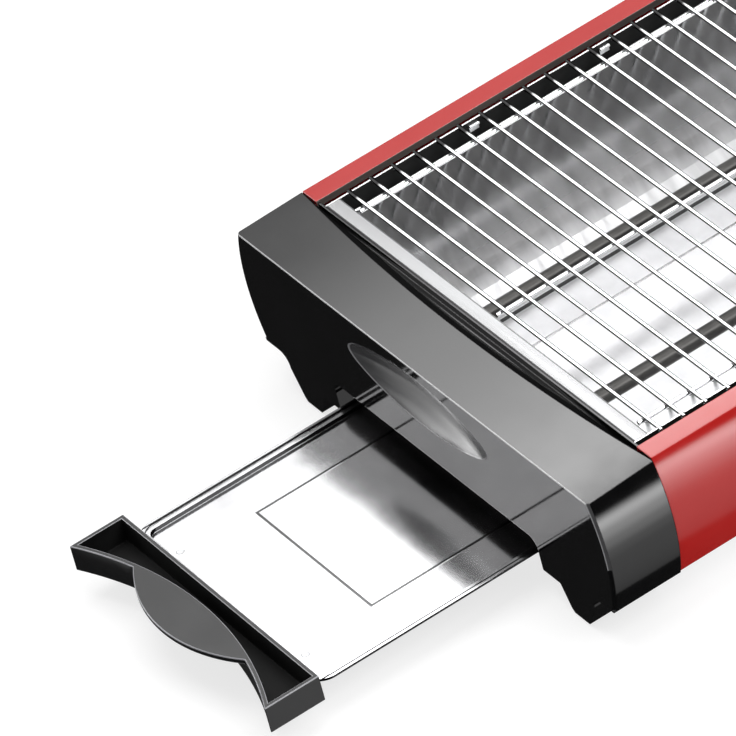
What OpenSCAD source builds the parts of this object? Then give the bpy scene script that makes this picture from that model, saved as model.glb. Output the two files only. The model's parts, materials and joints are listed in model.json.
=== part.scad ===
// Flat toaster: moulded end caps, painted side panels, a wire grill over two tubular
// heaters, and a crumb tray that slides out of the tray end.
// X runs from the tray end to the control end, Y across, Z up; lengths in millimetres.

/* [Body] */
// Length over the two end caps
body_length = 396.4; // [330:0.2:470]
// Width across the top edges of the end caps
top_width = 240; // [220:1:280]
// Height of the painted rails above the table
rail_top = 76.6; // [74:0.2:90]
// How far the barrel sides swell past the top edges
side_swell = 5.2; // [3:0.1:8]
// Width of the flat rail along each top edge
rail_width = 10.6; // [9:0.1:13]
// Thickness of the painted side panels and of the inner steel sheet
sheet = 0.8; // [0.6:0.1:1]

/* [End caps] */
// Depth of a cap along the body
cap_depth = 31.3; // [29:0.1:38]
// Wall of the moulding
cap_wall = 2.4; // [2:0.1:2.8]
// Fall of the top face towards the end
cap_fall = 1.4; // [0.6:0.1:2.4]
// Height of the lower edge of the sides
skirt_z = 20.2; // [19.6:0.1:22]
// Reach of the sunk shelf in the middle of the top face
shelf_reach = 6.5; // [4:0.1:9]
// Half length of the finger recess
recess_half = 48; // [36:1:54]
// Depth of the finger recess
recess_depth = 7; // [5:0.1:8]

/* [Grill and heaters] */
// Wire diameter
wire_dia = 1.8; // [1.6:0.1:2.4]
// Distance between cross wires
wire_pitch = 10.58; // [9:0.01:14]
// Diameter of the heater sheath
heater_dia = 6.5; // [6:0.1:8.5]
// Heater distance from the middle plane
heater_y = 38; // [30:1:46]
// Heater height above the table
heater_z = 43.4; // [40:0.2:48]

/* [Crumb tray] */
// How far the tray is drawn out
tray_out = 126; // [40:1:150]
// Width of the pan
tray_width = 130.5; // [124:0.5:131]
// Length of the pan
tray_length = 318; // [240:1:320]
// Depth of the handle along the slide
handle_depth = 25.2; // [22:0.1:28]
// Length of the handle across the body
handle_length = 138; // [120:1:138]
// Hollow of the handle's front wall
handle_hollow = 15.5; // [10:0.1:17]

/* [Timer] */
// Knob diameter
knob_dia = 36; // [30:1:40]
// Knob height along its axis
knob_height = 15; // [12:0.5:18]

/* [Hidden] */
$fn = 64;
gap = 0.05;
screw_dia = 3;
screw_hole = screw_dia + 2 * gap;

// Barrel sides: one arc from the skirt to the cap's top edge
cap_top = rail_top - 1;
arc_rise = (cap_top - skirt_z) / 2;
arc_r = (arc_rise * arc_rise + side_swell * side_swell) / (2 * side_swell);
arc_z = (cap_top + skirt_z) / 2;
arc_y = top_width / 2 + side_swell - arc_r;
function side_y(z, inset) = arc_y + sqrt(pow(arc_r - inset, 2) - pow(z - arc_z, 2));

// Rails and deck
panel_inset = 0.4;
foot_flange = 12;
tab_half = 7.9;
rail_y = top_width / 2 - rail_width;
tab_y = rail_y - foot_flange - tab_half - 0.5;
tab_x = cap_depth + 6;
lip = 1.7;
lip_edge = 0.9;
frame_x = cap_depth + lip + gap;
strip_width = 6.4;
frame_back = frame_x + strip_width;
frame_half = rail_y - 4.4;
deck_z = rail_top - 1;
slot_y = frame_half + gap;

// Legs and arch of the caps
leg_out = top_width / 2 - 15;
leg_in = leg_out - 25;
leg_mid = (leg_in + leg_out) / 2;
leg_z = 1.2;
edge_cut = 1.2;
leg_set_back = 1.8;
foot_stem = 5;
step_z = 12.5;
arch_half = handle_length / 2 + 1;
arch_top = 27.5;
arch_round = 5;
roof = 5;
shelf_drop = 3.4;
shelf_foot = shelf_reach / 4;
shelf_r = (top_width * top_width / 4 + shelf_reach * shelf_reach) / (2 * shelf_reach);

// Finger recess: a spindle lying along Y whose axis is outside the end wall
recess_rise = 12.5;
recess_z = 57;
recess_out = (recess_rise * recess_rise - recess_depth * recess_depth) / (2 * recess_depth);
recess_max = recess_out + recess_depth;
recess_arc = (recess_half * recess_half + recess_depth * recess_depth) / (2 * recess_depth);

// Base plate, runners and tray levels
base_z = skirt_z - 0.3;
base_top = base_z + sheet;
window_half = tray_width / 2 - 2.25;
window_end = 50;
rivet_y = window_half - 13;
tray_low = 15;
tray_rim = 18.2;
tray_sheet = 0.6;
tray_bead = 1.9;
tray_ledge = 3.4;
tray_corner = 8;
bead_low = tray_rim - 1.2;
runner_y = tray_width / 2 + 0.45;
runner_lip = 3.3;
runner_low = bead_low - 0.3 - sheet;
runner_out = 10;

// Grill
wire_z = deck_z - 0.95;
long_wire_y = frame_half - 10.2;
wire_first = frame_back + 5.3;
wire_gaps = floor((body_length - 2 * wire_first) / wire_pitch);
wire_start = (body_length - wire_gaps * wire_pitch) / 2;
slot_low = wire_z - 15;
clip_pitch = 6 * wire_pitch;
clip_margin = 98;

// Reflectors
mirror_sheet = 0.6;
mirror_top = [long_wire_y + 2.2, wire_z - wire_dia / 2 - mirror_sheet - 0.4];
mirror_lip = [window_half + 4, base_top + 1.6];
mirror_low = mirror_lip + [5, 3.6];
mirror_turn = slot_y - 1.2 - mirror_top[0];
mirror_edge = mirror_top + [mirror_turn, -mirror_turn];

// Heaters
heater_end = cap_depth - 1.3;
bushing_dia = 11;
pin_dia = 2.4;
pin_end = heater_end - 10;
lead_dia = 2.6;
link_width = 8;

// Tray and handle, drawn out
handle_x = -tray_out;
tray_x = handle_x + handle_depth;
handle_low = 13.1;
handle_top = 25.3;
handle_wall = 2;
handle_floor = 1.4;
tongue_y = 44;
tongue_reach = 14;
handle_half = handle_length / 2;
hollow_r = (handle_half * handle_half + handle_hollow * handle_hollow) / (2 * handle_hollow);
grip_half = 39.5;
grip_reach = 1.8;
grip_sheet = 2.4;
grip_tip = handle_hollow - hollow_r + sqrt(hollow_r * hollow_r - grip_half * grip_half);
grip_sag = grip_tip + grip_reach;
grip_r = (grip_half * grip_half + grip_sag * grip_sag) / (2 * grip_sag);

// Timer and the other fittings of the control end
timer_z = 50;
timer_size = [22, 36, 34];
timer_x = body_length - cap_wall - timer_size[0];
shaft_dia = 6;
bush_dia = 10;
nut_height = 0.8;
knob_gap = 1.2;
knob_x = body_length + knob_gap;
pilot_y = -top_width / 5;
pilot_dia = 9;
gland_in = 38;
gland_y = top_width / 2 - gland_in;
gland_z = 40;
gland_dia = 11;
cord_bore = 7;

// The origin lies under the middle of the overall box
origin_x = (handle_x - grip_reach + knob_x + knob_height) / 2;

// Places a node, drawn from the outer face of the tray end, in the shared frame
module in_frame() {
    translate([-origin_x, 0, 0])
        children();
}

// Extrudes a YZ outline along X
module along_x(length) {
    rotate([90, 0, 90])
        linear_extrude(length)
            children();
}

module both_sides() {
    children();
    mirror([0, 1, 0])
        children();
}

module both_ends() {
    children();
    translate([body_length, 0, 0])
        mirror([1, 0, 0])
            children();
}

// Rectangle with its two lower corners rounded
module round_low(y0, y1, z0, z1, r) {
    translate([y0 + r, z0])
        square([y1 - y0 - 2 * r, z1 - z0]);
    translate([y0, z0 + r])
        square([y1 - y0, z1 - z0 - r]);
    for (y = [y0 + r, y1 - r])
        translate([y, z0 + r])
            circle(r);
}

// Rectangle with all corners rounded
module round_plate(x0, x1, half, r) {
    for (x = [x0 + r, x1 - r])
        for (y = [-half + r, half - r])
            translate([x, y])
                circle(r);
    translate([x0 + r, -half])
        square([x1 - x0 - 2 * r, 2 * half]);
    translate([x0, -half + r])
        square([x1 - x0, 2 * half - 2 * r]);
}

// Straight run of bent sheet between two points of a section
module sheet_run(p, q, thick) {
    translate(p)
        rotate(atan2(q[1] - p[1], q[0] - p[0]))
            square([norm(q - p), thick]);
}

module barrel(inset, low, high) {
    intersection() {
        union() {
            for (s = [-1, 1])
                translate([s * arc_y, arc_z])
                    circle(arc_r - inset, $fn = 180);
            translate([-arc_y, arc_z - arc_r])
                square([2 * arc_y, 2 * arc_r]);
        }
        translate([-top_width, low])
            square([2 * top_width, high - low]);
    }
}

// One tapered leg with the sweep up to the skirt on its outside and the step on its inside
module leg_outline(inset) {
    sweep = 6;
    taper = 6;
    corner = 1.5;
    top = skirt_z + cap_wall + 1;
    low = leg_z + inset;
    polygon([
        [leg_in + corner + inset, top],
        [leg_in + corner + inset, step_z],
        [leg_in + taper + inset, low + corner],
        [leg_in + taper + corner + inset, low],
        [leg_out - taper - corner - inset, low],
        [leg_out - taper - inset, low + corner],
        [leg_out - inset, skirt_z - sweep],
        [leg_out - inset, top]
    ]);
    step_in = arch_half - 1 + 2 * inset / cap_wall;
    round_low(step_in, leg_in + 3 * corner + inset, step_z + inset, top, corner);
    if (inset == 0)
        difference() {
            translate([leg_out, skirt_z - sweep])
                square(sweep);
            translate([leg_out + sweep, skirt_z - sweep])
                circle(sweep);
        }
}

module arch_outline(grow) {
    translate([0, arch_top + grow])
        mirror([0, 1])
            round_low(-arch_half - grow, arch_half + grow, 0, arch_top + 10, arch_round + grow);
}

module cap_outline(with_arch) {
    difference() {
        union() {
            barrel(0, skirt_z, cap_top);
            leg_outline(0);
            mirror([1, 0])
                leg_outline(0);
            if (!with_arch)
                translate([-leg_in, step_z])
                    square([2 * leg_in, skirt_z]);
        }
        if (with_arch)
            arch_outline(0);
    }
}

module cap_hollow(with_arch) {
    floor_z = step_z + cap_wall;
    above = skirt_z + cap_wall + 1;
    difference() {
        union() {
            barrel(cap_wall, skirt_z + cap_wall, cap_top - roof);
            for (s = [0, 1])
                mirror([s, 0])
                    leg_outline(cap_wall);
            if (!with_arch)
                translate([-arch_half - 2, floor_z])
                    square([2 * arch_half + 4, above - floor_z]);
        }
        if (with_arch)
            arch_outline(cap_wall);
    }
}

// Wide cone that sinks the shelf as a ramp between the top face and the lip
module shelf_cut() {
    translate([cap_depth - shelf_reach + shelf_r, 0, cap_top - shelf_drop])
        cylinder(r1 = shelf_r - shelf_reach + shelf_foot, r2 = shelf_r, h = shelf_drop, $fn = 360);
}

// Envelope of a cap whose barrel sides are chamfered where they meet the end face
module cap_envelope() {
    for (s = [-1, 1])
        translate([0, s * arc_y, arc_z])
            rotate([0, 90, 0]) {
                cylinder(r1 = arc_r - edge_cut, r2 = arc_r, h = edge_cut, $fn = 180);
                translate([0, 0, edge_cut])
                    cylinder(r = arc_r + 1, h = cap_depth, $fn = 180);
            }
    translate([0, -arc_y, 0])
        cube([2 * cap_depth, 2 * arc_y, cap_top]);
    translate([0, -top_width, 0])
        cube([2 * cap_depth, 2 * top_width, skirt_z + edge_cut]);
}

module cap_shell(with_arch) {
    tongue = 6;
    tongue_band = 3 * rail_width;
    tongue_inset = panel_inset + sheet + gap;
    tab = [20, 2 * tab_half, cap_wall];
    top_cut = 0.7;
    difference() {
        intersection() {
            along_x(cap_depth)
                cap_outline(with_arch);
            cap_envelope();
        }
        translate([cap_wall, 0, 0])
            along_x(cap_depth)
                cap_hollow(with_arch);
        // sloped top face
        translate([0, -top_width, cap_top - cap_fall])
            rotate([0, -atan(cap_fall / cap_depth), 0])
                translate([-10, 0, 0])
                    cube([cap_depth + 20, 2 * top_width, 10]);
        // small flat along the outer top edge
        translate([-top_cut, -top_width, cap_top - cap_fall - top_cut])
            rotate([0, -45, 0])
                cube([10, 2 * top_width, 10]);
        // the legs draw back a little towards the table
        translate([0, -top_width, step_z])
            rotate([0, atan(leg_set_back / step_z), 0])
                translate([-10, 0, -30])
                    cube([10, 2 * top_width, 30]);
        intersection() {
            shelf_cut();
            translate([0, 2 - top_width / 2, 0])
                cube([cap_depth + 1, top_width - 4, 2 * cap_top]);
        }
        // holes for the feet
        for (s = [-1, 1])
            translate([cap_depth / 2, s * leg_mid, 0])
                cylinder(d = foot_stem + 2 * gap, h = 6);
    }
    // lip against the end frame, with a groove in front of its edge
    translate([cap_depth - 0.6, -rail_y, cap_top - roof])
        cube([lip + 0.6, 2 * rail_y, roof - shelf_drop]);
    translate([cap_depth + lip - lip_edge, -rail_y, cap_top - roof])
        cube([lip_edge, 2 * rail_y, roof]);
    // tongues inside the side panels
    translate([cap_depth - 4, 0, 0])
        along_x(4 + tongue)
            intersection() {
                difference() {
                    barrel(tongue_inset, base_top + 7, slot_low - 1);
                    barrel(tongue_inset + 1.7, base_top, slot_low);
                }
                union()
                    for (s = [-1, 1])
                        translate([s * top_width / 2 - tongue_band / 2, 0])
                            square([tongue_band, cap_top]);
            }
    // tabs over the base plate, each with a screw hole
    both_sides()
        difference() {
            translate([cap_depth - 8, tab_y - tab_half, base_top])
                cube(tab);
            translate([tab_x, tab_y, 0])
                cylinder(d = screw_hole, h = 40);
        }
}

module recess_spindle(grow) {
    translate([-recess_out, 0, recess_z])
        rotate([90, 0, 0])
            rotate_extrude($fn = 120)
                intersection() {
                    translate([recess_max - recess_arc, 0])
                        circle(recess_arc + grow, $fn = 240);
                    translate([0, -2 * recess_half])
                        square(4 * recess_half);
                }
}

module tray_end_cap() {
    color("#0d0d0f")
        in_frame()
            difference() {
                union() {
                    cap_shell(true);
                    intersection() {
                        recess_spindle(cap_wall);
                        translate([cap_wall / 2, -top_width / 2, arch_top])
                            cube([cap_depth, top_width, cap_top - arch_top]);
                    }
                }
                recess_spindle(0);
            }
}

module control_end_cap() {
    color("#0d0d0f")
        in_frame()
            difference() {
                translate([body_length, 0, 0])
                    mirror([1, 0, 0])
                        cap_shell(false);
                translate([body_length - 10, 0, timer_z])
                    rotate([0, 90, 0])
                        cylinder(d = bush_dia + 0.1, h = 20);
                translate([body_length - 10, pilot_y, timer_z])
                    rotate([0, 90, 0])
                        cylinder(d = pilot_dia, h = 20);
                translate([body_length - 10, gland_y, gland_z])
                    rotate([0, 90, 0])
                        cylinder(d = gland_dia, h = 20);
            }
}

module side_panel() {
    length = body_length - 2 * cap_depth - 0.2;
    low = base_top;
    down_flange = 3.2;
    color("#d3322f")
        in_frame()
            difference() {
                translate([cap_depth + 0.1, 0, 0])
                    along_x(length) {
                        intersection() {
                            difference() {
                                barrel(panel_inset, low, rail_top);
                                barrel(panel_inset + sheet, low + sheet, rail_top - sheet);
                            }
                            translate([rail_y, 0])
                                square([top_width, 2 * rail_top]);
                        }
                        translate([rail_y, rail_top - down_flange])
                            square([sheet, down_flange]);
                        translate([rail_y - foot_flange, low])
                            square([foot_flange + 1, sheet]);
                    }
                panel_screw_spots()
                    translate([0, 0, low - 1])
                        cylinder(d = screw_hole, h = 4);
            }
}

// Distance of the outer panel screws from the ends of the body
panel_screw_in = 70;

// Places along both sides where the panels are screwed to the base plate
module panel_screw_spots() {
    for (i = [0:2])
        for (s = [-1, 1])
            translate([body_length / 2 + (i - 1) * (body_length / 2 - panel_screw_in), s * (rail_y - 2), 0])
                children();
}

module front_side_panel() {
    mirror([0, 1, 0])
        side_panel();
}

module rear_side_panel() {
    side_panel();
}

module frame_rivet_spots() {
    for (s = [-1, 1])
        translate([frame_x + 3, s * rivet_y, 0])
            children();
}

module base_plate() {
    x0 = cap_depth + 0.2;
    half = rail_y + 6;
    color("#c4c6c8")
        in_frame()
            difference() {
                translate([x0, -half, base_z])
                    cube([body_length - 2 * x0, 2 * half, sheet]);
                translate([window_end, -window_half, base_z - 1])
                    cube([body_length - 2 * window_end, 2 * window_half, 3]);
                panel_screw_spots()
                    translate([0, 0, base_z - 1])
                        cylinder(d = screw_hole, h = 4);
                both_ends() {
                    for (s = [-1, 1])
                        translate([tab_x, s * tab_y, base_z - 1])
                            cylinder(d = screw_hole, h = 4);
                    frame_rivet_spots()
                        translate([0, 0, base_z - 1])
                            cylinder(d = screw_hole, h = 4);
                }
            }
}

module tray_runner() {
    x0 = cap_depth + 2;
    color("#b4b7ba")
        in_frame()
            translate([x0, 0, 0])
                along_x(body_length - 2 * x0 - 6) {
                    translate([runner_y - runner_lip, runner_low])
                        square([runner_lip + sheet, sheet]);
                    translate([runner_y, runner_low])
                        square([sheet, base_z - runner_low]);
                    translate([runner_y, base_z - sheet])
                        square([runner_out, sheet]);
                }
}

module front_tray_runner() {
    mirror([0, 1, 0])
        tray_runner();
}

module rear_tray_runner() {
    tray_runner();
}

module end_frame() {
    difference() {
        union() {
            translate([frame_back - sheet, -frame_half, base_top])
                cube([sheet, 2 * frame_half, deck_z - base_top]);
            for (z = [base_top, deck_z - sheet])
                translate([frame_x, -frame_half, z])
                    cube([strip_width, 2 * frame_half, sheet]);
        }
        for (s = [-1, 1])
            translate([frame_x, s * heater_y, heater_z])
                rotate([0, 90, 0])
                    cylinder(d = bushing_dia + 2 * gap, h = 2 * strip_width);
        // room for the cap's tabs and the panels' flanges
        both_sides()
            translate([0, tab_y - tab_half - 1, base_top - 1])
                cube([2 * frame_back, frame_half, cap_wall + 2]);
        frame_rivet_spots()
            translate([0, 0, base_top - 1])
                cylinder(d = screw_hole, h = 4);
    }
}

module tray_end_frame() {
    color("#e2e4e6")
        in_frame()
            end_frame();
}

module control_end_frame() {
    color("#e2e4e6")
        in_frame()
            translate([body_length, 0, 0])
                mirror([1, 0, 0])
                    end_frame();
}

module reflector() {
    foot = 7;
    // each run starts inside the one before it
    lap = [mirror_sheet / 6, 0];
    color("#d6d8da")
        in_frame()
            translate([frame_back + gap, 0, 0])
                along_x(body_length - 2 * frame_back - 2 * gap) {
                    // flatter ledge, steep mirror, rolled crest and the edge turned down behind it
                    sheet_run(mirror_lip - lap, mirror_low, mirror_sheet);
                    sheet_run(mirror_low - lap, mirror_top, mirror_sheet);
                    translate(mirror_top)
                        circle(mirror_sheet, $fn = 24);
                    sheet_run(mirror_top, mirror_edge, mirror_sheet);
                    // wall and foot on the base plate
                    translate([mirror_lip[0] - mirror_sheet, base_top])
                        square([mirror_sheet, mirror_lip[1] - base_top + mirror_sheet]);
                    translate([mirror_lip[0] - mirror_sheet, base_top])
                        square([foot, mirror_sheet]);
                }
}

module front_reflector() {
    mirror([0, 1, 0])
        reflector();
}

module rear_reflector() {
    reflector();
}

// Notched web that carries the wire ends, with a flange out to the side panel
module slot_rail() {
    reach = side_y(slot_low + sheet, panel_inset + sheet) - gap;
    notch = wire_dia + 2 * gap;
    notch_z = wire_z - wire_dia / 2;
    x0 = frame_x;
    color("#cfd1d3")
        in_frame()
            difference() {
                translate([x0, 0, 0])
                    along_x(body_length - 2 * x0) {
                        translate([slot_y, slot_low])
                            square([sheet, wire_z + 0.7 - slot_low]);
                        translate([slot_y, slot_low])
                            square([reach - slot_y, sheet]);
                    }
                for (i = [0:wire_gaps])
                    translate([wire_start + i * wire_pitch - notch / 2, slot_y - sheet, notch_z])
                        cube([notch, 3 * sheet, 2 * wire_dia]);
            }
}

module front_slot_rail() {
    mirror([0, 1, 0])
        slot_rail();
}

module rear_slot_rail() {
    slot_rail();
}

// Lanced tabs on the inner face of the slotted rails, between the wires
module grill_clips() {
    tab = [4.4, 2, sheet];
    drop = 1.2;
    count = floor((body_length - 2 * clip_margin) / clip_pitch);
    row_start = (body_length - count * clip_pitch) / 2;
    first = wire_start + wire_pitch * (round((row_start - wire_start) / wire_pitch) - 0.5);
    color("#dfe1e3")
        in_frame()
            both_sides()
                for (i = [0:count])
                    translate([first + i * clip_pitch, slot_y - tab[1] - gap, wire_z - drop]) {
                        translate([-tab[0] / 2, 0, 0])
                            cube(tab);
                        translate([-tab[0] / 2, tab[1] - sheet, -3 * sheet])
                            cube([tab[0], sheet, 3 * sheet + sheet / 2]);
                    }
}

module wire_grill() {
    reach = slot_y + sheet + 1.2;
    long_start = wire_start - 3;
    weld = 0.15;
    color("#eceef0")
        in_frame() {
            for (i = [0:wire_gaps])
                translate([wire_start + i * wire_pitch, reach, wire_z])
                    rotate([90, 0, 0])
                        cylinder(d = wire_dia, h = 2 * reach, $fn = 24);
            for (y = [-long_wire_y, 0, long_wire_y])
                translate([long_start, y, wire_z - wire_dia + weld])
                    rotate([0, 90, 0])
                        cylinder(d = wire_dia, h = body_length - 2 * long_start, $fn = 24);
        }
}

module heater() {
    color("#3a3b3d")
        in_frame()
            translate([heater_end, heater_y, heater_z])
                rotate([0, 90, 0])
                    cylinder(d = heater_dia, h = body_length - 2 * heater_end);
}

module front_heater() {
    mirror([0, 1, 0])
        heater();
}

module rear_heater() {
    heater();
}

module heater_bushings() {
    head = 2.6;
    body = 5;
    color("#efe9dc")
        in_frame()
            both_ends()
                both_sides()
                    translate([frame_back - sheet, heater_y, heater_z])
                        rotate([0, 90, 0])
                            difference() {
                                union() {
                                    translate([0, 0, -head])
                                        cylinder(d = bushing_dia + 3, h = head);
                                    cylinder(d = bushing_dia, h = body);
                                }
                                translate([0, 0, -10])
                                    cylinder(d = heater_dia + 0.1, h = 30);
                            }
}

module heater_terminals() {
    collar = 5;
    color("#c9b06a")
        in_frame()
            both_ends()
                both_sides()
                    translate([pin_end, heater_y, heater_z])
                        rotate([0, 90, 0]) {
                            cylinder(d = pin_dia, h = heater_end - pin_end);
                            translate([0, 0, heater_end - pin_end - 1.5])
                                cylinder(d = collar, h = 1.5);
                        }
}

// Strip that joins the two heaters in series at the tray end
module heater_link() {
    color("#b9bcc0")
        in_frame()
            difference() {
                translate([pin_end + 1, -heater_y - link_width / 2, heater_z - link_width / 2])
                    cube([sheet, 2 * heater_y + link_width, link_width]);
                for (s = [-1, 1])
                    translate([pin_end - 1, s * heater_y, heater_z])
                        rotate([0, 90, 0])
                            cylinder(d = pin_dia + 0.1, h = 6);
            }
}

module timer_body() {
    color("#5a5c60")
        in_frame()
            difference() {
                union() {
                    translate([timer_x, -timer_size[1] / 2, timer_z - timer_size[2] / 2])
                        cube(timer_size);
                    translate([body_length - cap_wall - 1, 0, timer_z])
                        rotate([0, 90, 0])
                            cylinder(d = bush_dia, h = cap_wall + 1 + nut_height);
                }
                translate([timer_x + 4, 0, timer_z])
                    rotate([0, 90, 0])
                        cylinder(d = shaft_dia + 0.1, h = 40);
            }
}

// Flat ring on the timer's neck, hidden under the knob
module timer_nut() {
    color("#c8cacd")
        in_frame()
            translate([body_length, 0, timer_z])
                rotate([0, 90, 0])
                    difference() {
                        cylinder(d = bush_dia + 5, h = nut_height);
                        translate([0, 0, -1])
                            cylinder(d = bush_dia + 0.1, h = 4);
                    }
}

module timer_shaft() {
    x0 = timer_x + 4.5;
    color("#d2d4d6")
        in_frame()
            translate([x0, 0, timer_z])
                rotate([0, 90, 0])
                    cylinder(d = shaft_dia, h = knob_x + knob_height - 4 - x0);
}

module timer_knob() {
    skirt = 4;
    grip = 9;
    bore = knob_height - 4;
    color("#17171a")
        in_frame()
            translate([knob_x, 0, timer_z])
                rotate([0, 90, 0])
                    difference() {
                        union() {
                            cylinder(d = knob_dia, h = skirt);
                            cylinder(d = knob_dia - 8, h = knob_height - 3);
                            intersection() {
                                translate([-knob_dia / 2, -grip / 2, 0])
                                    cube([knob_dia, grip, knob_height]);
                                cylinder(d = knob_dia - 3, h = knob_height);
                            }
                        }
                        translate([0, 0, -1])
                            cylinder(d = shaft_dia, h = bore + 1);
                    }
}

// where the back of the reflector's slope lies at a height
function mirror_back(z) = mirror_low[0] + mirror_sheet
    + (mirror_top[0] - mirror_low[0]) * (z - mirror_low[1]) / (mirror_top[1] - mirror_low[1]);

// The block lies between the reflector and the panel's foot, and is shallower in a narrow body
module terminal_block() {
    block_height = 15;
    block_clear = 1;
    block_outer = rail_y - foot_flange - block_clear;
    block_room = block_outer - block_clear - mirror_back(base_top + block_height);
    size = [26, min(16, block_room), block_height];
    block_x = body_length - frame_back - 8 - size[0];
    color("#e6dfd0")
        in_frame()
            translate([block_x, block_outer - size[1], base_top])
                difference() {
                    cube(size);
                    for (i = [0, 1])
                        translate([7 + i * 12, size[1] / 2, size[2] - 5])
                            cylinder(d = 6, h = 6);
                }
}

module pilot_lens() {
    dome = 5.5;
    color("#e0702a")
        in_frame()
            translate([body_length, pilot_y, timer_z])
                rotate([0, 90, 0]) {
                    translate([0, 0, -cap_wall - 1])
                        cylinder(d = pilot_dia - 2 * gap, h = cap_wall + 1);
                    intersection() {
                        translate([0, 0, gap])
                            cylinder(d = 2 * dome, h = 2.4);
                        translate([0, 0, 2.4 - 8])
                            sphere(8);
                    }
                    cylinder(d = pilot_dia - 2 * gap, h = 0.5);
                }
}

module pilot_lamp() {
    color("#f0c9a0")
        in_frame()
            translate([body_length - cap_wall - 1 - gap - 14, pilot_y, timer_z])
                rotate([0, 90, 0])
                    cylinder(d = 6, h = 14);
}

// Open bushing for the supply cord
module cord_gland() {
    color("#1b1b1d")
        in_frame()
            translate([body_length, gland_y, gland_z])
                rotate([0, 90, 0])
                    difference() {
                        union() {
                            translate([0, 0, -cap_wall - 3])
                                cylinder(d = gland_dia - 2 * gap, h = cap_wall + 3);
                            translate([0, 0, gap])
                                cylinder(d = gland_dia + 4, h = 3);
                            cylinder(d = gland_dia - 2 * gap, h = 1);
                        }
                        translate([0, 0, -20])
                            cylinder(d = cord_bore, h = 40);
                    }
}

// Straight insulated lead between two points
module lead_run(p, q) {
    d = q - p;
    translate(p)
        rotate([0, acos(d[2] / norm(d)), atan2(d[1], d[0])])
            cylinder(d = lead_dia, h = norm(d), $fn = 24);
}

// Leads from the heater pins to the timer, each with a sleeve on its pin
module supply_leads() {
    pin_x = body_length - pin_end - 3;
    timer_y = timer_size[1] / 2;
    sleeve = [pin_dia + 0.1, pin_dia + 2.4, 5];
    color("#d9d4c6")
        in_frame()
            both_sides()
                difference() {
                    union() {
                        translate([pin_x - sleeve[2] / 2, heater_y, heater_z])
                            rotate([0, 90, 0])
                                cylinder(d = sleeve[1], h = sleeve[2]);
                        lead_run([pin_x, heater_y, heater_z], [pin_x, timer_y + 0.5, timer_z]);
                    }
                    translate([pin_x - 10, heater_y, heater_z])
                        rotate([0, 90, 0])
                            cylinder(d = sleeve[0], h = 20);
                }
}

module rubber_feet() {
    pad = 9.6;
    color("#1c1c1e")
        in_frame()
            both_ends()
                both_sides()
                    translate([cap_depth / 2, leg_mid, 0]) {
                        cylinder(d = pad, h = leg_z - 0.02);
                        cylinder(d = foot_stem, h = leg_z + cap_wall + 0.6);
                    }
}

module screw(head, thick) {
    translate([0, 0, -head])
        cylinder(d = 2 * screw_dia, h = head, $fn = 32);
    translate([0, 0, -head / 2])
        cylinder(d = screw_dia, h = thick + head / 2, $fn = 32);
}

module base_screws() {
    color("#a9acb0")
        in_frame()
            both_ends()
                both_sides()
                    translate([tab_x, tab_y, base_z])
                        screw(1.8, sheet + cap_wall);
}

module panel_screws() {
    color("#a9acb0")
        in_frame()
            panel_screw_spots()
                translate([0, 0, base_z])
                    screw(1.8, 2 * sheet + 2);
}

module frame_rivets() {
    color("#a9acb0")
        in_frame()
            both_ends()
                frame_rivet_spots()
                    translate([0, 0, base_z])
                        screw(1, 2 * sheet);
}

// Slab of the tray's outline, drawn in from its rim
module tray_slab(inset, low, high) {
    translate([0, 0, low])
        linear_extrude(high - low)
            round_plate(tray_x + inset, tray_x + tray_length - inset, tray_width / 2 - inset,
                tray_corner - inset);
}

module crumb_tray() {
    rib = [1, tray_sheet / 2 + 0.2];
    rib_y = 40;
    rib_in = 41;
    rib_run = tray_length - 2 * rib_in;
    color("#e4e6e8")
        in_frame() {
            difference() {
                union() {
                    tray_slab(0, bead_low, tray_rim);
                    tray_slab(tray_ledge, tray_low, tray_rim - gap);
                }
                tray_slab(tray_bead, bead_low + tray_sheet, tray_rim + 1);
                tray_slab(tray_ledge + tray_sheet, tray_low + tray_sheet, tray_rim + 1);
                handle_rivet_spots()
                    cylinder(d = screw_hole, h = 2 * tray_rim);
            }
            // pressed lines of the floor
            for (s = [-1, 1])
                translate([tray_x + rib_in, s * rib_y - rib[0] / 2, tray_low + tray_sheet / 2])
                    cube([rib_run, rib[0], rib[1]]);
            for (x = [rib_in, rib_in + rib_run - rib[0]])
                translate([tray_x + x, -rib_y, tray_low + tray_sheet / 2])
                    cube([rib[0], 2 * rib_y, rib[1]]);
        }
}

module handle_rivet_spots() {
    for (s = [-1, 1])
        translate([tray_x + tongue_reach - 6, s * tongue_y, 0])
            children();
}

module trough_outline(inset) {
    difference() {
        translate([inset, -handle_half + inset])
            square([handle_depth - 2 * inset, handle_length - 2 * inset]);
        translate([handle_hollow - hollow_r, 0])
            circle(hollow_r + inset, $fn = 240);
    }
}

// Trough with a lens-shaped grip in its hollow front and two tongues under the tray
module tray_handle() {
    tongue_half = 9;
    tongue_thick = tray_low - gap - handle_low;
    color("#1f1f21")
        in_frame()
            difference() {
                translate([handle_x, 0, 0]) {
                    difference() {
                        translate([0, 0, handle_low])
                            linear_extrude(handle_top - handle_low)
                                trough_outline(0);
                        translate([0, 0, handle_low + handle_floor])
                            linear_extrude(handle_top)
                                trough_outline(handle_wall);
                    }
                    translate([0, 0, handle_top - grip_sheet])
                        linear_extrude(grip_sheet)
                            intersection() {
                                translate([grip_r - grip_reach, 0])
                                    circle(grip_r, $fn = 180);
                                translate([handle_hollow - hollow_r, 0])
                                    circle(hollow_r + handle_wall / 2, $fn = 240);
                            }
                    for (s = [-1, 1])
                        translate([handle_depth - handle_wall, s * tongue_y - tongue_half, handle_low])
                            cube([handle_wall + tongue_reach, 2 * tongue_half, tongue_thick]);
                }
                handle_rivet_spots()
                    cylinder(d = screw_hole, h = tray_rim);
            }
}

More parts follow.
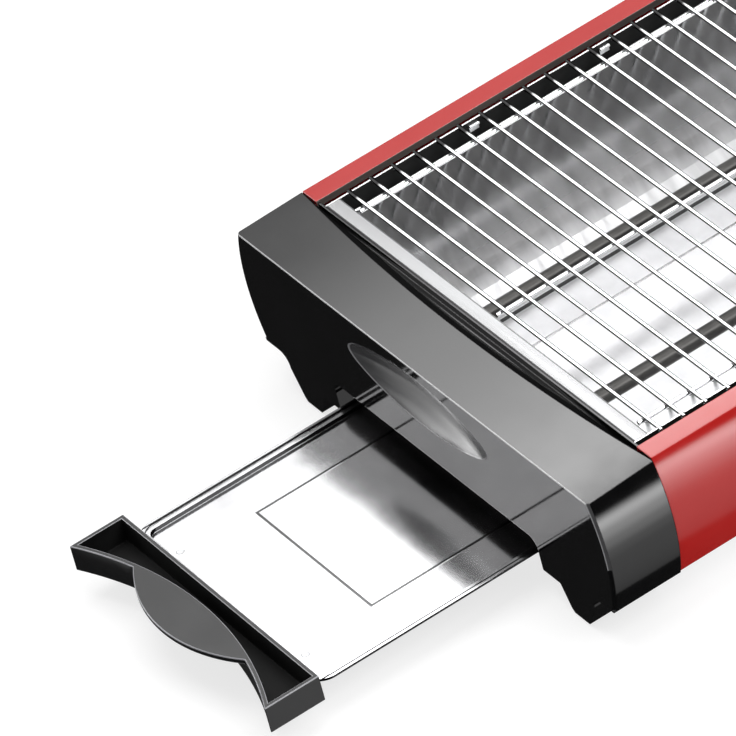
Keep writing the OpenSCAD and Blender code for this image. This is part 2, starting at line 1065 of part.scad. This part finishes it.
module handle_rivets() {
    head = 0.5;
    low = handle_low - gap - head;
    color("#b7babd")
        in_frame()
            handle_rivet_spots()
                translate([0, 0, low]) {
                    cylinder(d = 2 * screw_dia, h = head, $fn = 32);
                    cylinder(d = screw_dia, h = tray_low + tray_sheet - low, $fn = 32);
                }
}

tray_end_cap();
control_end_cap();
front_side_panel();
rear_side_panel();
base_plate();
front_tray_runner();
rear_tray_runner();
tray_end_frame();
control_end_frame();
front_reflector();
rear_reflector();
front_slot_rail();
rear_slot_rail();
grill_clips();
wire_grill();
front_heater();
rear_heater();
heater_bushings();
heater_terminals();
heater_link();
timer_body();
timer_nut();
terminal_block();
pilot_lens();
pilot_lamp();
cord_gland();
supply_leads();
rubber_feet();
base_screws();
panel_screws();
frame_rivets();
crumb_tray();
tray_handle();
handle_rivets();
timer_shaft();
timer_knob();
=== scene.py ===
import json
import math

import bmesh
import bpy
from mathutils import Matrix, Vector


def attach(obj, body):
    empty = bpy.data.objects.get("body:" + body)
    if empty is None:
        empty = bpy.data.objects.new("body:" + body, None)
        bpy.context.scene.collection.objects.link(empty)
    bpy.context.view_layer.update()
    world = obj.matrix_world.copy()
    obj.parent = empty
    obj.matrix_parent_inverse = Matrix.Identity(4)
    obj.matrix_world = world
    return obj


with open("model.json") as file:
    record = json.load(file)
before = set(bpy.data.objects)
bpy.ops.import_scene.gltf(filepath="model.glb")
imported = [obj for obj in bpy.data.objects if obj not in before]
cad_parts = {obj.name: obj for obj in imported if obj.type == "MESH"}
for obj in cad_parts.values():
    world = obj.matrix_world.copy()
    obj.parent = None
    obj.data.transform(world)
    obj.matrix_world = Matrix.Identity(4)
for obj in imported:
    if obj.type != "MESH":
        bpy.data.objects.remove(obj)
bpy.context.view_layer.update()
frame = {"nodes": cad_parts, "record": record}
nodes = frame["nodes"]

# Lengths are in metres; TENTH is near enough to a plane, and the width of a sharp edge in a material
MM = 0.001
TENTH = 0.1 * MM
# A face looks along an axis when its normal's share of that axis is above this
SQUARE = 0.9

# Places on the CAD pieces that the looks follow
BODY_LENGTH = 396.4 * MM
BODY_MIDDLE_X = 55.8 * MM
CAP_REACH = BODY_LENGTH / 2
CONTROL_FACE_X = BODY_MIDDLE_X + CAP_REACH
KNOB_Z = 50 * MM
REFLECTOR_CREST_Y = 97 * MM
RAIL_INNER_Y = 109.4 * MM
TRAY_BEAD_Y = 63.3 * MM
TROUGH_FLOOR_Z = 14.5 * MM
# The tray's looks change along this stretch, from its drawn-out part to its part under the heaters
TRAY_FADE_X = (-140 * MM, -100 * MM)

# Camera: the photograph's view in the part's own frame, in metres and degrees
PICTURE_PX = 736
FOCAL_PX = 10374.6
SENSOR_MM = 36
CAMERA_AZIMUTH = -24.65
CAMERA_ELEVATION = 37.944
CAMERA_ROLL = -15.296
CAMERA_DISTANCE = 3.988
CAMERA_FAR = 100
CAMERA_TARGET = Vector((-0.13984, 0.04075, 0.04887))


def make_camera():
    azimuth, elevation, roll = (math.radians(a) for a in (CAMERA_AZIMUTH, CAMERA_ELEVATION, CAMERA_ROLL))
    back = Vector((math.sin(azimuth) * math.cos(elevation), -math.cos(azimuth) * math.cos(elevation),
                   math.sin(elevation)))
    level_right = Vector((0, 0, 1)).cross(back).normalized()
    level_up = back.cross(level_right)
    right = math.cos(roll) * level_right + math.sin(roll) * level_up
    up = -math.sin(roll) * level_right + math.cos(roll) * level_up
    data = bpy.data.cameras.new("camera")
    data.sensor_width = SENSOR_MM
    data.lens = FOCAL_PX / PICTURE_PX * SENSOR_MM
    data.clip_end = CAMERA_FAR
    camera = bpy.data.objects.new("camera", data)
    turn = Matrix((right, up, back)).transposed().to_4x4()
    camera.matrix_world = Matrix.Translation(CAMERA_TARGET + CAMERA_DISTANCE * back) @ turn
    bpy.context.scene.collection.objects.link(camera)
    bpy.context.scene.camera = camera


# Shader building blocks
def add_node(tree, kind, **inputs):
    made = tree.nodes.new(kind)
    for name, value in inputs.items():
        made.inputs[name.replace("_", " ")].default_value = value
    return made


def plug(tree, value, socket):
    """Feeds an input from another node's socket, or sets it to a plain value."""
    if isinstance(value, bpy.types.NodeSocket):
        tree.links.new(value, socket)
    else:
        socket.default_value = value


def principled(material):
    return material.node_tree.nodes["Principled BSDF"]


def calculate(tree, operation, *values):
    """The result of a calculation with sockets and plain numbers."""
    made = add_node(tree, "ShaderNodeMath")
    made.operation = operation
    for value, socket in zip(values, made.inputs):
        plug(tree, value, socket)
    return made.outputs[0]


def faded(tree, value, start, end, start_level, end_level):
    """Runs from one level to another while a value goes from start to end."""
    made = add_node(tree, "ShaderNodeMapRange", From_Min=start, From_Max=end, To_Min=start_level,
                    To_Max=end_level)
    tree.links.new(value, made.inputs["Value"])
    return made.outputs["Result"]


def ranged(tree, noise, low, high):
    """Maps the usual spread of a noise value to the range from low to high."""
    return faded(tree, noise, 0.3, 0.7, low, high)


def mixed(tree, first, second, factor, blend="MIX"):
    """Blends two colours by a factor; each of the three is a socket or a plain value."""
    made = tree.nodes.new("ShaderNodeMix")
    made.data_type = "RGBA"
    made.blend_type = blend
    colours = [i for i in made.inputs if i.type == "RGBA"]
    plug(tree, factor, made.inputs["Factor"])
    plug(tree, first, colours[0])
    plug(tree, second, colours[1])
    return next(o for o in made.outputs if o.type == "RGBA")


def split(tree, vector):
    made = add_node(tree, "ShaderNodeSeparateXYZ")
    tree.links.new(vector, made.inputs["Vector"])
    return made.outputs


def facing(tree, axis, normal="Normal"):
    """How far a face looks along an axis, either way: 1 when square to it, 0 beside it."""
    looks = add_node(tree, "ShaderNodeNewGeometry").outputs[normal]
    return calculate(tree, "ABSOLUTE", split(tree, looks)[axis])


def place_along(tree, axis):
    return split(tree, add_node(tree, "ShaderNodeTexCoord").outputs["Object"])[axis]


def from_middle(tree):
    """The distance along the body from its middle, towards either end."""
    return calculate(tree, "ABSOLUTE", calculate(tree, "SUBTRACT", place_along(tree, "X"), BODY_MIDDLE_X))


def texture(tree, kind, scale, stretch=(1, 1, 1), **inputs):
    """A texture node in the piece's own coordinates, in metres; returns its value socket."""
    place = add_node(tree, "ShaderNodeTexCoord")
    squeeze = add_node(tree, "ShaderNodeMapping", Scale=stretch)
    made = add_node(tree, kind, Scale=scale, **inputs)
    tree.links.new(place.outputs["Object"], squeeze.inputs["Vector"])
    tree.links.new(squeeze.outputs["Vector"], made.inputs["Vector"])
    return made.outputs[0]


def bumped(tree, height, strength, depth_mm):
    made = add_node(tree, "ShaderNodeBump", Strength=strength, Distance=depth_mm * MM)
    tree.links.new(height, made.inputs["Height"])
    return made.outputs["Normal"]


def finish(name, dark, light, rough, patch=60, grain=900, bump=0.05, depth=0.05, stretch=(1, 1, 1),
           surface="ShaderNodeTexNoise", **fixed):
    """A material whose colour and roughness vary in patches and whose surface has a fine grain.

    patch and grain are spatial frequencies per metre; fixed values go straight to the shader."""
    material = bpy.data.materials.new(name)
    material.use_nodes = True
    tree = material.node_tree
    inputs = principled(material).inputs
    for key, value in fixed.items():
        inputs[key.replace("_", " ")].default_value = value
    patches = texture(tree, "ShaderNodeTexNoise", patch, stretch, Detail=5, Roughness=0.6)
    fine = texture(tree, surface, grain, stretch)
    tint = mixed(tree, (*dark, 1), (*light, 1), ranged(tree, patches, 0, 1))
    tree.links.new(tint, inputs["Base Color"])
    tree.links.new(ranged(tree, patches, *rough), inputs["Roughness"])
    tree.links.new(bumped(tree, fine, bump, depth), inputs["Normal"])
    return material


ALONG_X = (0.05, 1, 1)
ALONG_Y = (1, 0.05, 1)
DOWN_SLOPE = (1, 0.12, 0.12)
finishes = {
    "black_gloss": finish("black_gloss", (0.0014, 0.0014, 0.0016), (0.0028, 0.0028, 0.003), (0.05, 0.1),
                          patch=35, grain=700, bump=0.02),
    "red_paint": finish("red_paint", (0.38, 0.01, 0.009), (0.41, 0.014, 0.012), (0.1, 0.17),
                        patch=25, grain=300, bump=0.002),
    "galvanised": finish("galvanised", (0.72, 0.73, 0.74), (0.84, 0.85, 0.86), (0.34, 0.5), patch=90,
                         grain=120, bump=0.04, surface="ShaderNodeTexVoronoi", Metallic=0.35),
    "bright_steel": finish("bright_steel", (0.76, 0.77, 0.78), (0.84, 0.84, 0.85), (0.18, 0.28), patch=70,
                           grain=1500, bump=0.08, stretch=ALONG_Y, Metallic=1, Anisotropic=0.4),
    "reflector_steel": finish("reflector_steel", (0.68, 0.68, 0.69), (0.95, 0.95, 0.96), (0.1, 0.16),
                              patch=130, grain=2600, bump=0.05, stretch=DOWN_SLOPE, Metallic=1),
    "wire_chrome": finish("wire_chrome", (0.82, 0.82, 0.83), (0.92, 0.92, 0.93), (0.1, 0.2), patch=140,
                          grain=2500, bump=0.06, Metallic=1),
    "heater_sheath": finish("heater_sheath", (0.05, 0.049, 0.047), (0.07, 0.068, 0.066), (0.3, 0.36),
                            patch=30, grain=1800, bump=0.02, Metallic=1),
    "ceramic": finish("ceramic", (0.74, 0.69, 0.6), (0.84, 0.8, 0.72), (0.5, 0.7), patch=220, grain=2200,
                      bump=0.2),
    "pin_brass": finish("pin_brass", (0.6, 0.42, 0.18), (0.76, 0.57, 0.28), (0.2, 0.36), patch=200,
                        grain=2000, bump=0.08, stretch=ALONG_X, Metallic=1),
    "timer_case": finish("timer_case", (0.04, 0.04, 0.044), (0.06, 0.06, 0.064), (0.4, 0.55), patch=80,
                         grain=2400, bump=0.2),
    "amber_lens": finish("amber_lens", (0.85, 0.24, 0.03), (0.95, 0.34, 0.06), (0.06, 0.12), patch=120,
                         grain=900, bump=0.1, Transmission_Weight=0.6, IOR=1.49),
    "lamp_glass": finish("lamp_glass", (0.85, 0.7, 0.55), (0.95, 0.82, 0.68), (0.04, 0.1), patch=120,
                         grain=900, bump=0.05, Transmission_Weight=0.8, IOR=1.47),
    "black_matte": finish("black_matte", (0.006, 0.006, 0.0065), (0.01, 0.01, 0.0105), (0.26, 0.36),
                          patch=40, grain=2600, bump=0.14),
    "lead_sleeve": finish("lead_sleeve", (0.58, 0.54, 0.45), (0.74, 0.7, 0.6), (0.6, 0.8), patch=300,
                          grain=700, bump=0.4, depth=0.2, surface="ShaderNodeTexWave"),
    "foot_rubber": finish("foot_rubber", (0.012, 0.012, 0.012), (0.02, 0.02, 0.02), (0.65, 0.8), patch=120,
                          grain=1800, bump=0.2),
    "screw_steel": finish("screw_steel", (0.46, 0.47, 0.48), (0.6, 0.61, 0.62), (0.25, 0.4), patch=260,
                          grain=2200, bump=0.1, Metallic=1),
    "tray_steel": finish("tray_steel", (0.5, 0.5, 0.51), (0.62, 0.62, 0.63), (0.14, 0.18), patch=45,
                         grain=1600, bump=0.03, Metallic=1, Anisotropic=0.3),
}
flange_grey = finish("flange_grey", (0.16, 0.13, 0.12), (0.26, 0.22, 0.2), (0.35, 0.5), patch=200, grain=1500,
                   bump=0.1, stretch=ALONG_X, Metallic=0.6)
recess_satin_highlight = finish("recess_satin_highlight", (0.045, 0.045, 0.047), (0.055, 0.055, 0.057), (0.2, 0.26), patch=60,
                     grain=700, bump=0.02)
# Painted shade for the handle's trough: darker and less shiny than the handle
trough_painted_shade = finish("trough_painted_shade", (0.004, 0.004, 0.004), (0.008, 0.008, 0.008), (0.6, 0.75), patch=90,
                      grain=2400, bump=0.3, Specular_IOR_Level=0.15)
slot_web = finish("slot_web", (0.004, 0.004, 0.004), (0.009, 0.009, 0.009), (0.4, 0.55), patch=150,
                  grain=1800, bump=0.1, stretch=ALONG_X, Specular_IOR_Level=0.2)
dial_print = finish("dial_print", (0.6, 0.6, 0.59), (0.72, 0.72, 0.7), (0.5, 0.65), patch=400, grain=2500,
                    bump=0.1)
for subpart in frame["record"]["subparts"]:
    mesh = nodes[subpart["node"]].data
    mesh.materials.clear()
    mesh.materials.append(finishes[subpart["material_slot"]])


# Painted shade, painted highlights and painted light, with other darker places and print, on the CAD
# pieces
def variant(slot, name):
    """A copy of a finish, to be changed on some pieces only."""
    copied = finishes[slot].copy()
    copied.name = name
    return copied


def shade(material, level):
    """Multiplies a material's colour by a level."""
    tree = material.node_tree
    colour = principled(material).inputs["Base Color"]
    plain = colour.links[0].from_socket
    tree.links.new(mixed(tree, plain, level, 1, blend="MULTIPLY"), colour)


def paint_faces(node, material, chosen):
    """Gives one more material to the faces of a piece that a test picks."""
    mesh = nodes[node].data
    mesh.materials.append(material)
    for face in mesh.polygons:
        if chosen(face):
            face.material_index = len(mesh.materials) - 1


def paint_wire_shade():
    """Cross wires with painted shade on their sides below the polished tops, and painted shadow on their
    rear ends in the slotted rail.
    """
    painted_shade_level = 0.03
    shade_from = 97 * MM
    shade_to = 101 * MM
    chrome = finishes["wire_chrome"]
    tree = chrome.node_tree
    # Painted shade on the wires' sides and painted shadow on their rear ends
    sides = faded(tree, facing(tree, "X"), 0.5, 0.78, 1, painted_shade_level)
    ends = faded(tree, place_along(tree, "Y"), shade_from, shade_to, 1, painted_shade_level)
    shade(chrome, calculate(tree, "MULTIPLY", sides, ends))


def round_cap_edges_paint_highlight():
    """Cap edges rounded in the shading, with a painted highlight as a pale line along the outer top edges.
    """
    edge_radius = 0.5 * MM
    line_radius = 0.3 * MM
    line_fade = 0.55 * MM
    pale = (0.32, 0.32, 0.325, 1)
    edge_z = max(v.co.z for v in nodes["tray_end_cap"].data.vertices
                 if abs(v.co.x - BODY_MIDDLE_X) > CAP_REACH - TENTH)
    gloss = finishes["black_gloss"]
    tree = gloss.node_tree
    inputs = principled(gloss).inputs
    soft_edges = add_node(tree, "ShaderNodeBevel", Radius=edge_radius)
    bump = inputs["Normal"].links[0].from_node
    tree.links.new(soft_edges.outputs["Normal"], bump.inputs["Normal"])
    beside = calculate(tree, "SUBTRACT", from_middle(tree), CAP_REACH)
    below = calculate(tree, "SUBTRACT", place_along(tree, "Z"), edge_z)
    off_edge = calculate(tree, "ADD", calculate(tree, "MULTIPLY", beside, beside),
                         calculate(tree, "MULTIPLY", below, below))
    # Painted highlight: a pale line along the caps' outer top edges
    painted_highlight = faded(tree, off_edge, line_radius ** 2, line_fade ** 2, 1, 0)
    plain = inputs["Base Color"].links[0].from_socket
    tree.links.new(mixed(tree, plain, pale, painted_highlight), inputs["Base Color"])


def darken_end_strips_paint_shade():
    """End strips darkened overall, with a painted shadow line at the joint with the caps' lips and painted
    shade along their inner edges.
    """
    sheet_level = 0.4
    joint_shadow_level = 0.05
    edge_shade_level = 0.4
    joint_width = 0.4 * MM
    edge_width = 0.4 * MM
    steel = variant("bright_steel", "strip_steel")
    tree = steel.node_tree
    corners = [v.co for v in nodes["tray_end_frame"].data.vertices]
    top_z = max(p.z for p in corners)
    reach = [abs(p.x - BODY_MIDDLE_X) for p in corners if p.z > top_z - TENTH]
    outer_x = max(reach)
    inner_x = min(reach)
    along = from_middle(tree)
    # Painted shadow at the joint with the lips, and painted shade along the inner edges
    joint = faded(tree, along, outer_x - 2 * joint_width, outer_x - joint_width, sheet_level, joint_shadow_level)
    edge = faded(tree, along, inner_x + edge_width, inner_x + 1.5 * edge_width, edge_shade_level, 1)
    shade(steel, calculate(tree, "MULTIPLY", joint, edge))
    for name in ("tray_end_frame", "control_end_frame"):
        nodes[name].data.materials[0] = steel


def darken_pressed_lines():
    """The tray floor's pressed lines made darker, most of all on the drawn-out part away from the heaters.
    """
    drawn_out_level = 0.16
    heated_level = 0.6
    margin_x = 40 * MM
    reach_y = 41 * MM
    low_z = 15.65 * MM
    high_z = 15.9 * MM
    line = variant("tray_steel", "pressed_line")
    tree = line.node_tree
    along = place_along(tree, "X")
    shade(line, faded(tree, along, *TRAY_FADE_X, drawn_out_level, heated_level))
    lengthwise = [v.co.x for v in nodes["crumb_tray"].data.vertices]
    first_x = min(lengthwise) + margin_x
    last_x = max(lengthwise) - margin_x

    def pressed(face):
        x, y, z = face.center
        return first_x < x < last_x and abs(y) < reach_y and low_z < z < high_z

    paint_faces("crumb_tray", line, pressed)


def paint_tray_shade_and_light():
    """Painted shade darkening the low walls and the bead edges, and a duller floor under the heaters, made
    paler as painted light.
    """
    wall_shade_level = 0.06
    bead_shade_level = 0.03
    bead_width = 0.7 * MM
    heated_level = 1.35
    heated_dulling = 0.22
    heated_metallic = 0.55
    steel = finishes["tray_steel"]
    tree = steel.node_tree
    # Painted shade: upright walls darker, and a dark line along the bead's inner edge
    shade(steel, faded(tree, facing(tree, "Z"), 0.5, 0.85, wall_shade_level, 1))
    across = calculate(tree, "ABSOLUTE", place_along(tree, "Y"))
    bead_end = TRAY_BEAD_Y + bead_width
    inside = faded(tree, across, TRAY_BEAD_Y - TENTH, TRAY_BEAD_Y, 1, 0)
    outside = faded(tree, across, bead_end, bead_end + 2 * TENTH, bead_shade_level, 1)
    shade(steel, calculate(tree, "MAXIMUM", inside, outside))

    along = place_along(tree, "X")
    # Painted light: the floor under the heaters made paler
    shade(steel, faded(tree, along, *TRAY_FADE_X, 1, heated_level))
    inputs = principled(steel).inputs
    rough = inputs["Roughness"].links[0].from_socket
    dulled = faded(tree, along, *TRAY_FADE_X, 0, heated_dulling)
    tree.links.new(calculate(tree, "ADD", rough, dulled), inputs["Roughness"])
    tree.links.new(faded(tree, along, *TRAY_FADE_X, 1, heated_metallic), inputs["Metallic"])


def paint_reflector_shade():
    """Reflectors with painted shade darkening them towards their crests, and dull low down and on their
    turned edges.
    """
    foot_z = 26 * MM
    bright_z = 55 * MM
    crest_z = 58 * MM
    crest_shade_level = 0.62
    foot_metallic = 0.5
    steel = finishes["reflector_steel"]
    tree = steel.node_tree
    height = place_along(tree, "Z")
    # Painted shade: darker towards the crests
    shade(steel, faded(tree, height, foot_z, crest_z, 1, crest_shade_level))
    metallic = faded(tree, height, foot_z, bright_z, foot_metallic, 1)
    tree.links.new(metallic, principled(steel).inputs["Metallic"])

    def turned(face):
        return abs(face.center.y) > REFLECTOR_CREST_Y and 0.5 < abs(face.normal.z) < SQUARE

    for name in ("front_reflector", "rear_reflector"):
        paint_faces(name, finishes["galvanised"], turned)


def blacken_slot_rails():
    """Slotted rails with black webs, their cut edges left in the rail's steel."""
    for name in ("front_slot_rail", "rear_slot_rail"):
        paint_faces(name, slot_web, lambda face: abs(face.normal.y) > SQUARE)


def finish_recess_paint_rim_highlight():
    """A finger recess in a grey satin, with a painted highlight along its rim."""
    painted_rim_highlight = 5
    rim_from = 0.15 * MM
    rim_to = 0.4 * MM
    shallowest = 0.02 * MM
    deepest = 7.5 * MM
    low_z = 44 * MM
    cap_end = min(v.co.x for v in nodes["tray_end_cap"].data.vertices)
    tree = recess_satin_highlight.node_tree
    along = place_along(tree, "X")
    # Painted highlight: a pale rim round the recess
    shade(recess_satin_highlight, faded(tree, along, cap_end + rim_from, cap_end + rim_to, painted_rim_highlight, 1))

    def hollow(face):
        depth = face.center.x - cap_end
        return shallowest < depth < deepest and face.normal.x < -0.4 and face.center.z > low_z

    paint_faces("tray_end_cap", recess_satin_highlight, hollow)


def paint_handle_edge_highlights():
    """Painted highlights as pale lines on the handle's rounded edges, which lie between its level and
    upright faces.
    """
    edge_highlight_level = 30
    plastic = variant("black_matte", "handle_black")
    tree = plastic.node_tree
    # Painted highlight on the edges between level and upright faces
    upward = facing(tree, "Z", "True Normal")
    off_upright = faded(tree, upward, 0.2, 0.3, 0, 1)
    off_level = faded(tree, upward, 0.95, 0.98, 1, 0)
    edge = calculate(tree, "MULTIPLY", off_upright, off_level)
    shade(plastic, calculate(tree, "MULTIPLY_ADD", edge, edge_highlight_level - 1, 1))
    nodes["tray_handle"].data.materials[0] = plastic


def paint_trough_shade():
    """The floor and inner walls of the handle's trough, rough and with painted shade making them darker
    and less shiny.
    """
    clear = 1 * MM
    back_wall = 4 * MM
    back_x = max(v.co.x for v in nodes["tray_handle"].data.vertices if v.co.z > TROUGH_FLOOR_Z + clear)

    def inner(face):
        on_floor = abs(face.center.z - TROUGH_FLOOR_Z) < TENTH and face.normal.z > SQUARE
        on_wall = face.center.z > TROUGH_FLOOR_Z and abs(face.normal.z) < 0.5
        behind_front = face.normal.x > 0.3 and face.center.x < back_x - clear
        before_back = face.normal.x < -SQUARE and face.center.x > back_x - back_wall
        beside_end = face.normal.y * face.center.y < 0 and abs(face.normal.y) > SQUARE
        return on_floor or on_wall and (behind_front or before_back or beside_end)

    paint_faces("tray_handle", trough_painted_shade, inner)


def grey_rail_flanges():
    """Inner flanges of the painted rails, in a brownish grey metal."""
    def inner(face):
        return abs(abs(face.center.y) - RAIL_INNER_Y) < TENTH and abs(face.normal.y) > SQUARE

    for name in ("front_side_panel", "rear_side_panel"):
        paint_faces(name, flange_grey, inner)


def print_pointer():
    """A pale line on the upper half of the knob's grip, printed on its front."""
    line_light = 80
    half_width = 0.5 * MM
    low_z = KNOB_Z + 8 * MM
    plastic = variant("black_matte", "knob_black")
    tree = plastic.node_tree
    aside = calculate(tree, "ABSOLUTE", place_along(tree, "Y"))
    line = faded(tree, aside, half_width, half_width + TENTH, 1, 0)
    upper = faded(tree, place_along(tree, "Z"), low_z - TENTH, low_z + TENTH, 0, 1)
    front = faded(tree, facing(tree, "X"), 0.8, 0.95, 0, 1)
    printed = calculate(tree, "MULTIPLY", calculate(tree, "MULTIPLY", line, upper), front)
    shade(plastic, calculate(tree, "MULTIPLY_ADD", printed, line_light - 1, 1))
    nodes["timer_knob"].data.materials[0] = plastic


paint_wire_shade()
round_cap_edges_paint_highlight()
darken_end_strips_paint_shade()
darken_pressed_lines()
paint_tray_shade_and_light()
paint_reflector_shade()
blacken_slot_rails()
finish_recess_paint_rim_highlight()
paint_handle_edge_highlights()
paint_trough_shade()
grey_rail_flanges()
print_pointer()


# Softened edges of the CAD pieces
def soften(node, width_mm):
    piece = nodes[node]
    weld = piece.modifiers.new("weld", "WELD")
    weld.merge_threshold = 0.002 * MM
    merge = piece.modifiers.new("merge", "DECIMATE")
    merge.decimate_type = "DISSOLVE"
    merge.angle_limit = math.radians(0.5)
    merge.delimit = {"MATERIAL"}
    bevel = piece.modifiers.new("bevel", "BEVEL")
    bevel.width = width_mm * MM
    bevel.segments = 2
    bevel.limit_method = "ANGLE"
    bevel.angle_limit = math.radians(35)
    bevel.use_clamp_overlap = False
    bevel.harden_normals = True


EDGE_RADII_MM = {
    "front_side_panel": 0.3, "rear_side_panel": 0.3, "tray_handle": 0.4, "timer_knob": 0.6,
    "cord_gland": 0.4, "terminal_block": 0.4, "rubber_feet": 0.3, "crumb_tray": 0.2,
}
for name, radius in EDGE_RADII_MM.items():
    soften(name, radius)


# Small added detail
def add_piece(name, shape, material, body, smooth=False):
    """Makes a piece from a built shape; it rides on a body."""
    mesh = bpy.data.meshes.new(name)
    shape.to_mesh(mesh)
    shape.free()
    if smooth:
        mesh.shade_smooth()
    mesh.materials.append(material)
    piece = bpy.data.objects.new(name, mesh)
    bpy.context.scene.collection.objects.link(piece)
    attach(piece, body)


WIRE_PITCH = 10.58 * MM
WIRE_COUNT = 30
WIRE_RADIUS = 0.9 * MM
WIRE_Z = 74.65 * MM
LONG_WIRE_Y = (-94.8 * MM, 0.0, 94.8 * MM)
WELD_SPREAD = 1.15
WELD_HEIGHT = 0.6


def add_welds():
    """Spot welds where the cross wires lie on the long wires."""
    welds = bmesh.new()
    flat = Matrix.Diagonal((WELD_SPREAD, WELD_SPREAD, WELD_HEIGHT, 1))
    for i in range(WIRE_COUNT):
        x = BODY_MIDDLE_X + (i - (WIRE_COUNT - 1) / 2) * WIRE_PITCH
        for y in LONG_WIRE_Y:
            spot = Matrix.Translation((x, y, WIRE_Z - WIRE_RADIUS)) @ flat
            bmesh.ops.create_uvsphere(welds, u_segments=10, v_segments=6, radius=WIRE_RADIUS, matrix=spot)
    add_piece("wire_welds", welds, finishes["wire_chrome"], "housing", smooth=True)


TIMER_TURN = 300
DIAL_STEPS = 10
STEPS_PER_LONG_MARK = 5
DIAL_INNER = 19.4 * MM
LONG_MARK_OUTER = 21.4 * MM
LONG_MARK_WIDTH = 0.9 * MM
SHORT_MARK_OUTER = 20.6 * MM
SHORT_MARK_WIDTH = 0.6 * MM


def add_dial():
    """Timer marks on the control end, clockwise from the top."""
    marks = bmesh.new()
    centre = Matrix.Translation((CONTROL_FACE_X, 0, KNOB_Z))
    for i in range(DIAL_STEPS + 1):
        long_mark = i % STEPS_PER_LONG_MARK == 0
        outer = LONG_MARK_OUTER if long_mark else SHORT_MARK_OUTER
        width = LONG_MARK_WIDTH if long_mark else SHORT_MARK_WIDTH
        turn = Matrix.Rotation(math.radians(-i * TIMER_TURN / DIAL_STEPS), 4, "X")
        place = Matrix.Translation((0, 0, (DIAL_INNER + outer) / 2))
        size = Matrix.Diagonal((TENTH, width, outer - DIAL_INNER, 1))
        bmesh.ops.create_cube(marks, size=1, matrix=centre @ turn @ place @ size)
    add_piece("dial_marks", marks, dial_print, "housing")


add_welds()
add_dial()


# Studio: floor, softboxes and reflection cards
FLOOR_SIZE = 60


def add_light(name, place, aim, size, power):
    data = bpy.data.lights.new(name, "AREA")
    data.shape = "RECTANGLE"
    data.size, data.size_y = size
    data.energy = power
    light = bpy.data.objects.new(name, data)
    light.location = place
    light.rotation_euler = (Vector(aim) - Vector(place)).to_track_quat("-Z", "Y").to_euler()
    light.visible_camera = False
    bpy.context.scene.collection.objects.link(light)


def add_card(name, place, aim, size, strengths, along="Y"):
    """A glowing card seen only in reflections; its strength runs along its height, or along its width."""
    bpy.ops.mesh.primitive_plane_add(size=1)
    card = bpy.context.object
    card.name = name
    card.location = place
    card.scale = (*size, 1)
    card.rotation_euler = (Vector(aim) - Vector(place)).to_track_quat("Z", "Y").to_euler()
    card.visible_camera = False
    card.visible_diffuse = False
    card.visible_shadow = False
    material = bpy.data.materials.new(name)
    material.use_nodes = True
    tree = material.node_tree
    tree.nodes.remove(principled(material))
    place_in = add_node(tree, "ShaderNodeTexCoord")
    ramp = add_node(tree, "ShaderNodeValToRGB")
    glow = add_node(tree, "ShaderNodeEmission", Strength=max(strengths))
    stops = ramp.color_ramp.elements
    ramp.color_ramp.interpolation = "EASE"
    while len(stops) < len(strengths):
        stops.new(0.5)
    for i, value in enumerate(strengths):
        share = value / max(strengths)
        stops[i].position = i / (len(strengths) - 1)
        stops[i].color = (share, share, share, 1)
    tree.links.new(split(tree, place_in.outputs["Generated"])[along], ramp.inputs["Fac"])
    tree.links.new(ramp.outputs["Color"], glow.inputs["Color"])
    tree.links.new(glow.outputs["Emission"], tree.nodes["Material Output"].inputs["Surface"])
    card.data.materials.append(material)


def make_world():
    """A dim room that brightens overhead."""
    world = bpy.data.worlds.new("studio")
    world.use_nodes = True
    tree = world.node_tree
    place = add_node(tree, "ShaderNodeTexCoord")
    ramp = add_node(tree, "ShaderNodeValToRGB")
    for stop, position, level in zip(ramp.color_ramp.elements, (0.5, 0.9), (0.03, 0.5)):
        stop.position = position
        stop.color = (level, level, level, 1)
    height = split(tree, place.outputs["Generated"])["Z"]
    tree.links.new(faded(tree, height, -1, 1, 0, 1), ramp.inputs["Fac"])
    tree.links.new(ramp.outputs["Color"], tree.nodes["Background"].inputs["Color"])
    bpy.context.scene.world = world


def make_floor():
    """A plain pale floor that does not show in reflections."""
    bpy.ops.mesh.primitive_plane_add(size=FLOOR_SIZE)
    floor = bpy.context.object
    floor.name = "floor"
    floor.visible_glossy = False
    material = bpy.data.materials.new("floor")
    material.use_nodes = True
    inputs = principled(material).inputs
    inputs["Base Color"].default_value = (0.3, 0.3, 0.3, 1)
    inputs["Roughness"].default_value = 0.9
    inputs["Specular IOR Level"].default_value = 0
    inputs["Emission Color"].default_value = (1, 1, 1, 1)
    inputs["Emission Strength"].default_value = 0.75
    floor.data.materials.append(material)


def make_studio():
    """Lights and cards: place, aim and size in metres, then a light's watts or a card's strengths."""
    bpy.context.scene.view_settings.view_transform = "Standard"
    make_world()
    make_floor()
    add_light("overhead", (0.0, 0.1, 1.6), (0, 0, 0), (1.3, 1.3), 20)
    add_light("front", (0.5, -1.15, 1.35), (0, 0, 0.03), (1.3, 0.9), 20)
    add_card("back_card", (0.55, 1.18, 1.07), (0.55, 1.18, 0), (1.9, 0.5), (8.5, 4.4, 1.4, 0.8))
    add_card("left_card", (-1.06, 1.04, 0.11), (-0.14, 0, 0.1), (0.95, 0.6), (1.5, 2.5, 5, 9), along="X")
    add_card("low_card", (-1.06, 1.04, -0.39), (-0.14, 0, -0.4), (0.95, 0.4), (1.6, 2, 2.4, 3), along="X")
    add_card("edge_card", (-1.0, 1.0, 0.6), (-0.14, 0, 0.075), (0.6, 0.5), (3, 4, 6, 10), along="X")
    add_card("side_card", (-0.75, 1.2, 1.07), (-0.75, 1.2, 0), (0.7, 0.5), (2, 2))
    add_card("near_card", (0.244, -0.791, -0.635), (-0.006, -0.041, -0.445), (0.9, 1.17),
             (0.4, 0.5, 0.6, 0.7, 0.8, 0.9, 1, 1.4, 2.8, 5, 9, 0))


make_camera()
make_studio()
